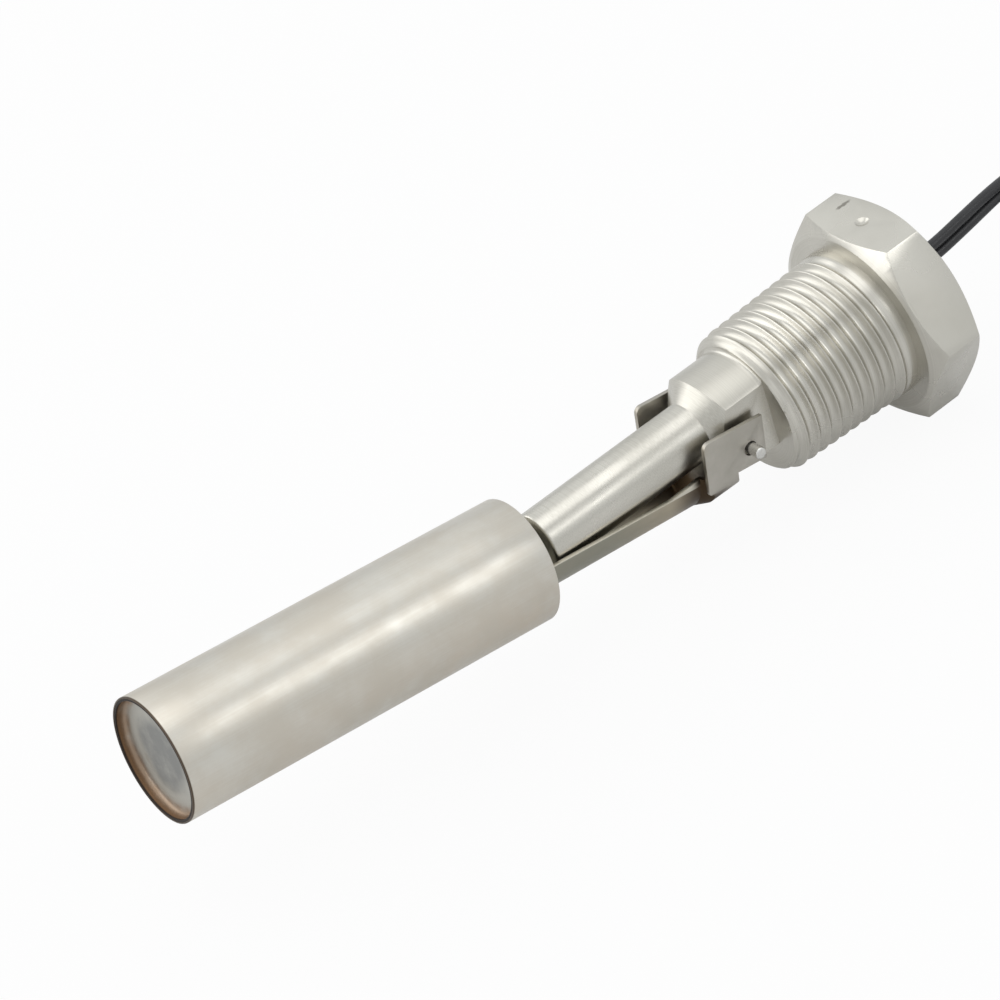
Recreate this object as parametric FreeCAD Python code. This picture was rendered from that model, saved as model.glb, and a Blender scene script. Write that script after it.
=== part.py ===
import FreeCAD, Part
import math
import os

from FreeCAD import Placement, Rotation, Vector

# Side-mounted float level switch, all stainless, with a tapered pipe thread.
# Millimetres. The origin is on the thread axis at the front face of the hexagon.
# +X runs along the thread axis from the hexagon to the float, +Y along the hinge
# pins and +Z away from the hinge arm. The float arm is drawn parallel to X in a
# frame of its own, centred on the pins, and then turned up against its stop.

# Hexagon
hex_flats = 27.0
hex_thickness = 8.4
hex_chamfer_angle = 30.0
hex_chamfer_ring = 0.95
mark_ball_radius = 1.5
mark_dimple_depth = 0.35
mark_dimple_back = 4.4

# Tapered thread; rings at the thread's pitch stand in for its helix
thread_end_diameter = 21.7
thread_taper = 1.0 / 16.0
thread_length = 20.0
thread_lead_in = 1.6
thread_lead_in_drop = 1.15
lead_in_middle_run = 0.6
lead_in_middle_fall = 0.36
thread_pitch = 25.4 / 14
thread_depth = 1.2
thread_run_out = 2.0
crest_share = 0.12
root_share = 0.08

# Boss with its milled flats, and the shoulder down to the stem
boss_diameter = 16.9
boss_flat_width = 11.2
boss_belly = 3.45
boss_root_fillet = 0.6
shoulder_half_angle = 48.0
shoulder_end = 28.8

# Stem and the blind bore for the leads, both on one offset axis
stem_offset = 2.2
stem_diameter = 8.2
stem_length = 25.55
stem_end_rounding = 0.5
bore_diameter = 5.8
bore_end_wall = 1.4
well_diameter = 9.0
well_depth = 2.4

# Hinge pins, pressed into blind holes from each side
pin_diameter = 1.6
pin_back_from_shoulder = 3.8
pin_depth = 2.2
pin_overhang = 2.0
pin_end_rounding = 0.25

# Folded hinge bracket and its pressed arm
sheet = 0.6
ear_gap = 0.8
ear_height = 3.85
ear_front = 7.3
ear_foot = 3.6
ear_rear = 2.2
ear_corner = 0.9
ear_hole_diameter = 2.0
ear_hole_forward = 0.12
heel_front = 2.5
heel_height = 2.45
web_drop = 4.35
web_bend = 1.1
throat_start = 6.2
throat_drop = 6.6
throat_bend = 4.2
neck_length = 0.9
arm_half_width = 5.0
arm_drop_at_neck = 7.7
arm_drop_at_float = 8.1
arm_rim = 2.9
arm_floor_flat = 0.2
rim_rise = 0.9
rim_rise_length = 5.0
rest_angle = 9.0

# Float
float_diameter = 16.7
float_length = 54.5
float_gap = 2.43
float_drop = 3.2
float_wall = 0.25
cap_thickness = 0.3
cap_skirt = 2.0
cap_recess = 1.4
magnet_diameter = 6.0
magnet_length = 5.0
holder_wall = 0.7
holder_floor = 0.6

# Reed switch, splices and the leads inside the plug
reed_diameter = 2.3
reed_length = 14.0
reed_glass_wall = 0.4
reed_end_rounding = 0.6
reed_seal = 2.0
reed_bend_start = 0.6
reed_end_gap = 2.6
blade_width = 1.0
blade_thickness = 0.2
blade_overlap = 1.2
blade_root = 0.3
blade_gap = 0.1
reed_lead_diameter = 0.5
return_rise = 1.75
splice_diameter = 1.2
splice_length = 4.0
splice_start = 26.0
splice_step_back = 1.6
sleeve_wall = 0.25
sleeve_overhang = 0.5
lead_diameter = 1.5
lead_spacing = 1.74
potting_recess = 0.5

# Leads outside: the routes are centre lines from the potting to the coil
lead_route_upper = [
    (-7.9, 0.0, 3.07),
    (-13.9, -0.4, 2.8),
    (-20.2, -1.1, 3.1),
    (-26.7, -2.0, 3.2),
    (-33.1, -3.5, 2.1),
    (-38.8, -6.3, -0.9),
    (-43.7, -9.2, -4.2),
    (-48.8, -10.7, -6.2),
    (-54.2, -12.1, -7.4),
]
lead_route_lower = [
    (-7.9, 0.0, 1.33),
    (-13.9, -0.4, 1.1),
    (-20.2, -1.1, 1.3),
    (-26.5, -2.0, 1.5),
    (-32.5, -3.9, 0.5),
    (-37.6, -7.1, -2.0),
    (-42.7, -10.6, -5.0),
    (-48.2, -12.5, -6.4),
    (-53.8, -13.9, -7.4),
]
arc_share = 0.45

# Coil of the spare lead, lying on the surface under the hexagon
coil_centre = (-54.0, -2.0)
coil_inner_radius = 9.4
coil_outer_radius = 15.6
coil_height = 6.2
coil_edge_rounding = 0.7
tie_width = 3.2
tie_thickness = 0.55
tie_angle = 150.0
coil_columns = 4
tip_column_upper = 2.5
tip_column_lower = 3.5
tip_diameter = 0.9
tip_length = 6.0
tip_angle_upper = -3.0
tip_angle_lower = -111.0

# Sizes that follow
floor_z = -hex_flats / 2
back_x = -hex_thickness
thread_end_radius = thread_end_diameter / 2
stem_radius = stem_diameter / 2
stem_end = shoulder_end + stem_length
bore_end = stem_end - bore_end_wall
pin_x = shoulder_end - pin_back_from_shoulder
pin_radius = pin_diameter / 2
boss_side = boss_flat_width / 2
ear_half_width = boss_side + ear_gap + sheet
step_angle = math.atan2(ear_half_width - arm_half_width, neck_length)
ear_wall_end = throat_start - sheet * math.tan(step_angle / 2)
float_radius = float_diameter / 2
stem_reach = (stem_end - pin_x) * math.cos(math.radians(rest_angle))
stem_reach += (stem_offset + stem_radius) * math.sin(math.radians(rest_angle))
float_reach = stem_reach + float_gap
reed_end = bore_end - reed_end_gap
reed_start = reed_end - reed_length
splice_end = splice_start + splice_length
step_end = reed_start - splice_step_back
upper_z = stem_offset + lead_spacing / 2
lower_z = stem_offset - lead_spacing / 2
lead_exit = back_x + potting_recess
coil_bottom = floor_z + tie_thickness
coil_top = coil_bottom + coil_height

X_AXIS = Vector(1, 0, 0)
Y_AXIS = Vector(0, 1, 0)
Z_AXIS = Vector(0, 0, 1)


def x_cylinder(radius, start, end, y=0.0, z=0.0):
    """A cylinder along X between two stations."""
    return Part.makeCylinder(radius, end - start, Vector(start, y, z), X_AXIS)


def box_between(low, high):
    """A box from its two far corners."""
    size = Vector(*high) - Vector(*low)
    return Part.makeBox(size.x, size.y, size.z, Vector(*low))


def x_turned(profile, z=0.0):
    """Turn a closed (x, radius) outline round a line along X."""
    points = [Vector(x, 0, z + radius) for x, radius in profile]
    face = Part.Face(Part.makePolygon(points + points[:1]))
    return face.revolve(Vector(0, 0, z), X_AXIS, 360)


def fuse_all(shapes):
    """Fuse shapes into one and merge the faces that continue each other."""
    return shapes[0].fuse(shapes[1:]).removeSplitter()


def raise_arm(shape):
    """Take a shape from the arm's own frame to its place against the stop."""
    moved = shape.copy()
    moved.rotate(Vector(0, 0, 0), Y_AXIS, -rest_angle)
    moved.translate(Vector(pin_x, 0, 0))
    return moved


def hexagon_head():
    """Hexagon with flats facing up and down, chamfered on both faces."""
    corner = hex_flats / math.sqrt(3)
    angles = [math.radians(60 * i) for i in range(6)]
    outline = [Vector(back_x, corner * math.cos(a), corner * math.sin(a)) for a in angles]
    prism = Part.Face(Part.makePolygon(outline + outline[:1])).extrude(X_AXIS * hex_thickness)
    ring = hex_flats * hex_chamfer_ring / 2
    slope = math.tan(math.radians(hex_chamfer_angle))
    setback = (corner - ring) * slope
    rounder = x_turned(
        [
            (back_x, 0),
            (back_x, ring),
            (back_x + setback, corner),
            (-setback, corner),
            (0, ring),
            (0, 0),
        ]
    )
    head = prism.common(rounder)
    dimple = Part.makeSphere(mark_ball_radius)
    rise = mark_ball_radius - mark_dimple_depth
    dimple.translate(Vector(-mark_dimple_back, 0, hex_flats / 2 + rise))
    return head.cut(dimple)


def crest_radius(x):
    """Radius over the thread's crests at station x."""
    return thread_end_radius - x * thread_taper / 2


def thread_rings():
    """Outline of the thread's crests and roots from the run-out to the lead-in."""
    room = thread_length - thread_lead_in - thread_run_out
    outline = []
    for i in range(int(room / thread_pitch)):
        start = thread_run_out + i * thread_pitch
        middle = start + thread_pitch / 2
        root = crest_radius(middle) - thread_depth
        half_crest = thread_pitch * crest_share / 2
        half_root = thread_pitch * root_share / 2
        outline.append((start + half_crest, crest_radius(start)))
        outline.append((middle - half_root, root))
        outline.append((middle + half_root, root))
        outline.append((start + thread_pitch - half_crest, crest_radius(start + thread_pitch)))
    return outline


def threaded_length():
    """Tapered thread with its rounded lead-in."""
    start = thread_length - thread_lead_in
    start_radius = crest_radius(start)
    face_radius = start_radius - thread_lead_in_drop
    middle = Vector(
        start + thread_lead_in * lead_in_middle_run,
        0,
        start_radius - thread_lead_in_drop * lead_in_middle_fall,
    )
    outline = [(0, 0), (0, thread_end_radius), *thread_rings(), (start, start_radius)]
    places = [Vector(x, 0, radius) for x, radius in outline]
    edges = [Part.makeLine(a, b) for a, b in zip(places, places[1:])]
    edges.append(
        Part.Arc(places[-1], middle, Vector(thread_length, 0, face_radius)).toShape()
    )
    edges.append(Part.makeLine(Vector(thread_length, 0, face_radius), Vector(thread_length, 0, 0)))
    edges.append(Part.makeLine(Vector(thread_length, 0, 0), places[0]))
    return Part.Face(Part.Wire(edges)).revolve(Vector(0, 0, 0), X_AXIS, 360)


def root_ring(radius, x):
    """Ring with a hollow quarter-round face that fills the corner at a boss's root."""
    size = boss_root_fillet
    hollow = Vector(x + size * (1 - math.sqrt(0.5)), 0, radius + size * (1 - math.sqrt(0.5)))
    edges = [
        Part.makeLine(Vector(x - size, 0, radius - size), Vector(x - size, 0, radius + size)),
        Part.makeLine(Vector(x - size, 0, radius + size), Vector(x, 0, radius + size)),
        Part.Arc(Vector(x, 0, radius + size), hollow, Vector(x + size, 0, radius)).toShape(),
        Part.makeLine(Vector(x + size, 0, radius), Vector(x - size, 0, radius - size)),
    ]
    return Part.Face(Part.Wire(edges)).revolve(Vector(0, 0, 0), X_AXIS, 360)


def boss_and_stem():
    """Boss on the thread axis, cone and stem on the offset axis, three milled flats."""
    radius = boss_diameter / 2
    boss = x_cylinder(radius, thread_length - thread_lead_in, shoulder_end)
    boss = boss.fuse(root_ring(radius, thread_length))
    cone_length = shoulder_end - thread_length + thread_lead_in
    cone_rise = cone_length * math.tan(math.radians(shoulder_half_angle))
    cone = x_turned(
        [
            (shoulder_end - cone_length, 0),
            (shoulder_end - cone_length, stem_radius + cone_rise),
            (shoulder_end, stem_radius),
            (shoulder_end, 0),
        ],
        z=stem_offset,
    )
    flats = box_between(
        (0, -boss_side, -boss_belly), (shoulder_end + 1, boss_side, boss_diameter)
    )
    stem = x_cylinder(stem_radius, thread_length, stem_end, z=stem_offset)
    tip_edge = [e for e in stem.Edges if abs(e.CenterOfMass.x - stem_end) < 0.01]
    stem = stem.makeFillet(stem_end_rounding, tip_edge)
    return boss.common(cone).common(flats), stem


def pin_hole(side):
    """Blind hole for one hinge pin; side is 1 or -1."""
    return Part.makeCylinder(
        pin_radius,
        pin_depth + boss_diameter,
        Vector(pin_x, side * (boss_side - pin_depth), 0),
        Y_AXIS * side,
    )


def plug_body():
    """The one-piece turned plug: hexagon, thread, boss and closed stem."""
    boss, stem = boss_and_stem()
    solid = fuse_all([hexagon_head(), threaded_length(), boss, stem])
    bore = x_cylinder(bore_diameter / 2, back_x - 1, bore_end, z=stem_offset)
    well = x_cylinder(well_diameter / 2, back_x - 1, back_x + well_depth, z=stem_offset)
    return solid.cut([bore, well, pin_hole(1), pin_hole(-1)])


def hinge_pin(side):
    """Plain pin with a rounded outer end that sticks out past the ear."""
    length = pin_depth + ear_gap + sheet + pin_overhang
    pin = Part.makeCylinder(
        pin_radius, length, Vector(pin_x, side * (boss_side - pin_depth), 0), Y_AXIS * side
    )
    outer = side * (boss_side - pin_depth + length)
    edge = [e for e in pin.Edges if abs(e.CenterOfMass.y - outer) < 0.01]
    return pin.makeFillet(pin_end_rounding, edge)


def trough_section(x, half_width, drop, bend, top):
    """Closed U outline at station x: flat sides, rounded corners, open end at top."""
    low = -drop
    quarter = bend * (1 - math.sqrt(0.5))
    right = half_width - bend
    edges = [
        Part.makeLine(Vector(x, half_width, top), Vector(x, half_width, low + bend)),
        Part.Arc(
            Vector(x, half_width, low + bend),
            Vector(x, half_width - quarter, low + quarter),
            Vector(x, right, low),
        ).toShape(),
        Part.makeLine(Vector(x, right, low), Vector(x, -right, low)),
        Part.Arc(
            Vector(x, -right, low),
            Vector(x, -half_width + quarter, low + quarter),
            Vector(x, -half_width, low + bend),
        ).toShape(),
        Part.makeLine(Vector(x, -half_width, low + bend), Vector(x, -half_width, top)),
        Part.makeLine(Vector(x, -half_width, top), Vector(x, half_width, top)),
    ]
    return Part.Wire(edges)


def trough_form(inset):
    """Solid form of the bracket, shrunk by inset on its sides and below.

    It is a U between the ears, dips to a deeper throat, steps in at the neck
    and runs on as the narrow round-bottomed arm.
    """
    wide = ear_half_width - inset
    narrow = arm_half_width - inset
    neck = throat_start - inset * math.tan(step_angle / 2)
    top = ear_height + 1
    arm_bend = narrow - arm_floor_flat / 2
    rear = -ear_rear - inset
    stations = [
        trough_section(rear, wide, web_drop - inset, web_bend - inset, top),
        trough_section(heel_front, wide, web_drop - inset, web_bend - inset, top),
        trough_section(neck, wide, throat_drop - inset, throat_bend - inset, top),
        trough_section(neck + neck_length, narrow, arm_drop_at_neck - inset, arm_bend, top),
        trough_section(float_reach - inset, narrow, arm_drop_at_float - inset, arm_bend, top),
    ]
    spans = [
        Part.makeLoft([stations[i], stations[i + 1]], True, True)
        for i in range(len(stations) - 1)
    ]
    return spans[0].fuse(spans[1:])


def bracket_side_view():
    """What the pressed sheet keeps, seen from the side: heel relief and falling rims."""
    neck_end = throat_start + neck_length
    base = -arm_drop_at_float - 1
    points = [
        Vector(-ear_rear, 0, -heel_height),
        Vector(-ear_rear, 0, ear_height),
        Vector(ear_wall_end, 0, ear_height),
        Vector(ear_wall_end, 0, rim_rise - arm_rim),
        Vector(neck_end, 0, rim_rise - arm_rim),
        Vector(neck_end + rim_rise_length, 0, -arm_rim),
        Vector(float_reach, 0, -arm_rim),
        Vector(float_reach, 0, base),
        Vector(heel_front, 0, base),
        Vector(heel_front, 0, -heel_height),
    ]
    face = Part.Face(Part.makePolygon(points + points[:1]))
    face.translate(Vector(0, -ear_half_width - 1, 0))
    return face.extrude(Y_AXIS * 2 * (ear_half_width + 1))


def ear_plate(side):
    """Flat ear with a free front edge and rounded front corners; side is 1 or -1."""
    inner, outer = sorted((side * (ear_half_width - sheet), side * ear_half_width))
    plate = box_between((heel_front, inner, -ear_foot), (ear_front, outer, ear_height))
    front = [e for e in plate.Edges if abs(e.CenterOfMass.x - ear_front) < 0.01]
    top = [e for e in front if abs(e.CenterOfMass.z - ear_height) < 0.01]
    foot = [e for e in front if abs(e.CenterOfMass.z + ear_foot) < 0.01]
    return plate.makeFillet(ear_corner, top).makeFillet(sheet / 2, foot)


def hinge_bracket():
    """One folded and pressed sheet: two ears, web, throat, arm and end foot."""
    shell = trough_form(0).cut(trough_form(sheet))
    shell = shell.common(bracket_side_view())
    shell = shell.fuse([ear_plate(1), ear_plate(-1)])
    holes = Part.makeCylinder(
        ear_hole_diameter / 2,
        4 * ear_half_width,
        Vector(ear_hole_forward, -2 * ear_half_width, 0),
        Y_AXIS,
    )
    return raise_arm(shell.cut(holes).removeSplitter())


def float_tube():
    """Thin drawn tube of the float."""
    end = float_reach + float_length
    outer = x_cylinder(float_radius, float_reach, end, z=-float_drop)
    inner = x_cylinder(float_radius - float_wall, float_reach - 1, end + 1, z=-float_drop)
    return raise_arm(outer.cut(inner))


def float_cap(face_x, skirt_end):
    """Drawn cup: a disc whose outer face is at face_x and a skirt to skirt_end."""
    direction = 1 if skirt_end > face_x else -1
    outer = float_radius - float_wall
    inner_face = face_x + direction * cap_thickness
    disc = x_cylinder(outer, min(face_x, inner_face), max(face_x, inner_face), z=-float_drop)
    low, high = sorted((face_x, skirt_end))
    skirt = x_cylinder(outer, low, high, z=-float_drop)
    skirt = skirt.cut(x_cylinder(outer - cap_thickness, low - 1, high + 1, z=-float_drop))
    return fuse_all([disc, skirt])


def float_inner_cap():
    """Cap that carries the arm outside and the magnet inside."""
    return raise_arm(float_cap(float_reach, float_reach + cap_skirt))


def float_outer_cap():
    """Cap set back into the far end, with its skirt welded to the rim."""
    end = float_reach + float_length
    return raise_arm(float_cap(end - cap_recess - cap_thickness, end))


def float_magnet():
    """Magnet against the inner cap, on the float's axis."""
    start = float_reach + cap_thickness
    return raise_arm(
        x_cylinder(magnet_diameter / 2, start, start + magnet_length, z=-float_drop)
    )


def magnet_holder():
    """Moulded cup that holds the magnet against the inner cap."""
    start = float_reach + cap_thickness
    end = start + magnet_length + holder_floor
    outer = x_cylinder(magnet_diameter / 2 + holder_wall, start, end, z=-float_drop)
    inner = x_cylinder(magnet_diameter / 2, start - 1, start + magnet_length, z=-float_drop)
    return raise_arm(outer.cut(inner))


def step_to_splice(high_z, low_z):
    """Step down in a reed lead and its last stretch to the splice."""
    radius = reed_lead_diameter / 2
    step = box_between(
        (step_end - reed_lead_diameter, -radius, low_z - radius),
        (step_end, radius, high_z + radius),
    )
    return step, x_cylinder(radius, splice_end, step_end, z=low_z)


def reed_blade_front():
    """Front blade; its lead turns back over the glass to the upper splice."""
    middle = (reed_start + reed_end) / 2
    low_z = stem_offset + blade_gap / 2
    blade = box_between(
        (middle - blade_overlap / 2, -blade_width / 2, low_z),
        (reed_end - reed_seal, blade_width / 2, low_z + blade_thickness),
    )
    radius = reed_lead_diameter / 2
    bend_x = reed_end + reed_bend_start
    lead = x_cylinder(radius, reed_end - reed_seal - blade_root, bend_x, z=stem_offset)
    bend_centre = Vector(bend_x, 0, stem_offset + return_rise / 2)
    circle = Part.Wire(
        Part.makeCircle(radius, bend_centre - Z_AXIS * (return_rise / 2), X_AXIS)
    )
    bend = Part.Face(circle).revolve(bend_centre, Y_AXIS * -1, 180)
    back = x_cylinder(radius, step_end, bend_x, z=stem_offset + return_rise)
    return fuse_all([blade, lead, bend, back, *step_to_splice(stem_offset + return_rise, upper_z)])


def reed_blade_rear():
    """Rear blade with its straight lead to the lower splice."""
    middle = (reed_start + reed_end) / 2
    top_z = stem_offset - blade_gap / 2
    blade = box_between(
        (reed_start + reed_seal, -blade_width / 2, top_z - blade_thickness),
        (middle + blade_overlap / 2, blade_width / 2, top_z),
    )
    root = reed_start + reed_seal + blade_root
    lead = x_cylinder(reed_lead_diameter / 2, step_end, root, z=stem_offset)
    return fuse_all([blade, lead, *step_to_splice(stem_offset, lower_z)])


def reed_capsule():
    """Outer form of the reed switch's glass, with its rounded ends."""
    radius = reed_diameter / 2
    outer = x_cylinder(radius, reed_start, reed_end, z=stem_offset)
    rims = [e for e in outer.Edges if e.Closed and e.Length > 1]
    return outer.makeFillet(radius * reed_end_rounding, rims)


def reed_glass(blades):
    """Sealed glass capsule with the two blades fused through its ends."""
    radius = reed_diameter / 2 - reed_glass_wall
    cavity = x_cylinder(radius, reed_start + reed_seal, reed_end - reed_seal, z=stem_offset)
    return reed_capsule().cut(cavity).cut(blades)


def splice(z):
    """Crimped splice between a reed lead and a lead wire."""
    return x_cylinder(splice_diameter / 2, splice_start, splice_end, z=z)


def splice_sleeve(z):
    """Insulating sleeve shrunk over a splice, from the lead's cover to past the crimp."""
    inner = splice_diameter / 2
    end = splice_end + sleeve_overhang
    tube = x_cylinder(inner + sleeve_wall, splice_start, end, z=z)
    return tube.cut(x_cylinder(inner, splice_start - 1, end + 1, z=z))


def lead_inside(z):
    """Stretch of a lead that the potting holds, from its splice to the exit."""
    return x_cylinder(lead_diameter / 2, lead_exit, splice_start, z=z)


def potting_resin(held):
    """Resin that fills the bore and the well round everything in them."""
    fill = x_cylinder(bore_diameter / 2, lead_exit, bore_end, z=stem_offset)
    well = x_cylinder(well_diameter / 2, lead_exit, back_x + well_depth, z=stem_offset)
    return fill.fuse(well).removeSplitter().cut(held)


def rounded_route(points, diameter, label):
    """Wire of straight runs and tangent arcs through the route's points."""
    places = [Vector(*p) for p in points]
    edges = []
    radii = []
    last = places[0]
    for before, corner, after in zip(places, places[1:], places[2:]):
        into = corner - before
        out = after - corner
        reach = arc_share * min(into.Length, out.Length)
        half_turn = into.getAngle(out) / 2
        radius = reach / math.tan(half_turn)
        radii.append(radius)
        start = corner - Vector(into).normalize() * reach
        end = corner + Vector(out).normalize() * reach
        inward = (Vector(out).normalize() - Vector(into).normalize()).normalize()
        middle = corner + inward * (radius / math.cos(half_turn) - radius)
        edges.append(Part.makeLine(last, start))
        edges.append(Part.Arc(start, middle, end).toShape())
        last = end
    edges.append(Part.makeLine(last, places[-1]))
    rounded = ", ".join(f"{r / diameter:.1f}" for r in radii)
    print(f"{label}: arc radii in diameters {rounded}")
    return Part.Wire(edges)


def cord_tube(points, diameter, label):
    """Round tube along a route; prints how its volume compares with its length."""
    path = rounded_route(points, diameter, label)
    direction = path.Edges[0].tangentAt(path.Edges[0].FirstParameter)
    ring = Part.Wire(Part.makeCircle(diameter / 2, Vector(*points[0]), direction))
    tube = path.makePipeShell([ring], True, True)
    ideal = math.pi * diameter**2 / 4 * path.Length
    print(f"{label}: length {path.Length:.1f}, volume over ideal {tube.Volume / ideal:.4f}")
    return tube


def lead_coil():
    """Outer form of the coil that both leads are wound into."""
    middle = Vector(coil_centre[0], coil_centre[1], coil_bottom)
    outer = Part.makeCylinder(coil_outer_radius, coil_height, middle)
    ring = outer.cut(Part.makeCylinder(coil_inner_radius, coil_height, middle))
    rims = [e for e in ring.Edges if e.Closed and e.Length > 1 and abs(e.BoundBox.ZLength) < 0.01]
    return ring.makeFillet(coil_edge_rounding, rims)


def coil_tie():
    """Flat tie closed round the coil's bundle."""
    width = coil_outer_radius - coil_inner_radius
    low = Vector(coil_inner_radius - tie_thickness, -tie_width / 2, floor_z)
    outer = Part.makeBox(
        width + 2 * tie_thickness, tie_width, coil_height + 2 * tie_thickness, low
    )
    corners = [e for e in outer.Edges if abs(e.tangentAt(e.FirstParameter).y) > 0.99]
    band = outer.makeFillet(coil_edge_rounding + tie_thickness, corners)
    turn = Placement(Vector(*coil_centre, 0), Rotation(Z_AXIS, tie_angle))
    band.Placement = turn.multiply(band.Placement)
    return band.cut(lead_coil())


def lead_tip(angle, column):
    """Stripped, tinned end of a lead, lying on top of one of the coil's columns."""
    pitch = (coil_outer_radius - coil_inner_radius) / coil_columns
    tip = Part.makeCylinder(
        tip_diameter / 2,
        tip_length,
        Vector(coil_inner_radius + column * pitch, 0, coil_top + tip_diameter / 2),
        Y_AXIS * -1,
    )
    turn = Placement(Vector(*coil_centre, 0), Rotation(Z_AXIS, angle))
    tip.Placement = turn.multiply(tip.Placement)
    return tip


def build():
    """Every node by name."""
    blade_front = reed_blade_front()
    blade_rear = reed_blade_rear()
    glass = reed_glass([blade_front, blade_rear])
    splices = [splice(upper_z), splice(lower_z)]
    sleeves = [splice_sleeve(upper_z), splice_sleeve(lower_z)]
    inside = [lead_inside(upper_z), lead_inside(lower_z)]
    held = [blade_front, blade_rear, reed_capsule()] + splices + sleeves + inside
    coil = lead_coil()
    return {
        "plug_body": plug_body(),
        "hinge_pin_left": hinge_pin(1),
        "hinge_pin_right": hinge_pin(-1),
        "hinge_bracket": hinge_bracket(),
        "float_tube": float_tube(),
        "float_inner_cap": float_inner_cap(),
        "float_outer_cap": float_outer_cap(),
        "float_magnet": float_magnet(),
        "magnet_holder": magnet_holder(),
        "reed_glass": glass,
        "reed_blade_front": blade_front,
        "reed_blade_rear": blade_rear,
        "splice_upper": splices[0],
        "splice_lower": splices[1],
        "splice_sleeve_upper": sleeves[0],
        "splice_sleeve_lower": sleeves[1],
        "lead_inside_upper": inside[0],
        "lead_inside_lower": inside[1],
        "potting_resin": potting_resin(held),
        "lead_wire_upper": cord_tube(lead_route_upper, lead_diameter, "upper lead").cut(coil),
        "lead_wire_lower": cord_tube(lead_route_lower, lead_diameter, "lower lead").cut(coil),
        "lead_coil": coil,
        "coil_tie": coil_tie(),
        "lead_tip_upper": lead_tip(tip_angle_upper, tip_column_upper),
        "lead_tip_lower": lead_tip(tip_angle_lower, tip_column_lower),
    }


def main():
    os.makedirs("parts", exist_ok=True)
    for name, shape in build().items():
        shape.exportStep(os.path.join("parts", f"{name}.step"))
        print(f"{name}: {len(shape.Solids)} solid, {shape.Volume:.1f} mm3, valid {shape.isValid()}")


main()
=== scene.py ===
import math

import bpy
from mathutils import Euler, Matrix, Vector


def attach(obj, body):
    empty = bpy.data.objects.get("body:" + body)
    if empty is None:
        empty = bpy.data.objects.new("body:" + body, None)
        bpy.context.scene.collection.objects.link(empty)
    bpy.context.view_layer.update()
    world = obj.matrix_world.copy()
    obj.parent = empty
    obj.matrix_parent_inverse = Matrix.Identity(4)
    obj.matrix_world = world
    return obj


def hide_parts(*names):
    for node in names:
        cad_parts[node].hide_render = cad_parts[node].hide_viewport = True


# Float level switch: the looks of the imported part. Metres, in the part's own frame:
# the origin is on the thread axis at the hexagon's front, X runs to the float, Z is up.
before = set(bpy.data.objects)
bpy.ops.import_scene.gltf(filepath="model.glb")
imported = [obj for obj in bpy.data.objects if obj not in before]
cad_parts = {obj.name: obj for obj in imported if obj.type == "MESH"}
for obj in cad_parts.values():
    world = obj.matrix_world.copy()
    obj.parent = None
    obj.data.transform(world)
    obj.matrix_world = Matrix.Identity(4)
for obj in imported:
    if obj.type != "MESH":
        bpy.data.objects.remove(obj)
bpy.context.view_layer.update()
mm = 0.001
weldGap = 0.002 * mm  # points closer than this become one
flatness = 0.6  # degrees between facets that count as one flat
scene = bpy.context.scene
print("frame loaded:", len(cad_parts), "nodes")


# camera
cameraSetup = {
    "place": (0.225205, 0.340045, 0.298946),
    "turn": (51.2156, 15.3557, 141.6874),
    "lens": 140.47,
    "sensor": 36.0,
    "clip": (0.01, 10),
}

bpy.ops.object.camera_add(location=cameraSetup["place"])
camera = bpy.context.object
camera.name = "viewCamera"
camera.rotation_euler = Euler([math.radians(a) for a in cameraSetup["turn"]], "XYZ")
camera.data.lens = cameraSetup["lens"]
camera.data.sensor_width = cameraSetup["sensor"]
camera.data.clip_start, camera.data.clip_end = cameraSetup["clip"]
scene.camera = camera
print("camera set")


# small tools
def deselectAll():
    bpy.ops.object.select_all(action="DESELECT")


def pick(obj):
    deselectAll()
    obj.select_set(True)
    bpy.context.view_layer.objects.active = obj


def editMode(on):
    bpy.ops.object.mode_set(mode="EDIT" if on else "OBJECT")


def editWhole():
    # into edit mode with all of the mesh selected
    editMode(True)
    bpy.ops.mesh.select_all(action="SELECT")


def closeMesh(gap=weldGap):
    # seams and poles are merged and the faces turned outwards
    editWhole()
    bpy.ops.mesh.remove_doubles(threshold=gap)
    bpy.ops.mesh.normals_make_consistent(inside=False)
    editMode(False)


def applyAll(obj):
    pick(obj)
    for modifier in list(obj.modifiers):
        bpy.ops.object.modifier_apply(modifier=modifier.name)


def settle(obj):
    # place goes into the mesh, so the object sits at the origin
    pick(obj)
    bpy.ops.object.transform_apply(location=True, rotation=True, scale=True)
    return obj


def smoothByAngle(obj, degrees):
    pick(obj)
    bpy.ops.object.shade_smooth_by_angle(angle=math.radians(degrees))


def easeStep(value, low, high):
    t = min(1.0, max(0.0, (value - low) / (high - low)))
    return t * t * (3 - 2 * t)


def dress(obj, name, material, body, slotName, *nodes):
    obj.name = name
    obj.data.name = name
    obj.data.materials.clear()
    obj.data.materials.append(material)
    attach(obj, body)
    if nodes:
        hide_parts(*nodes)
    return obj


def copyOfNode(name):
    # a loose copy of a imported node, with its triangles welded together
    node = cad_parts[name]
    node.hide_set(False)
    pick(node)
    bpy.ops.object.duplicate()
    copy = bpy.context.object
    world = copy.matrix_world.copy()
    copy.parent = None
    copy.matrix_world = world
    settle(copy)
    bpy.ops.mesh.customdata_custom_splitnormals_clear()
    editWhole()
    bpy.ops.mesh.remove_doubles(threshold=weldGap)
    bpy.ops.mesh.select_all(action="DESELECT")
    editMode(False)
    return copy


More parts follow.
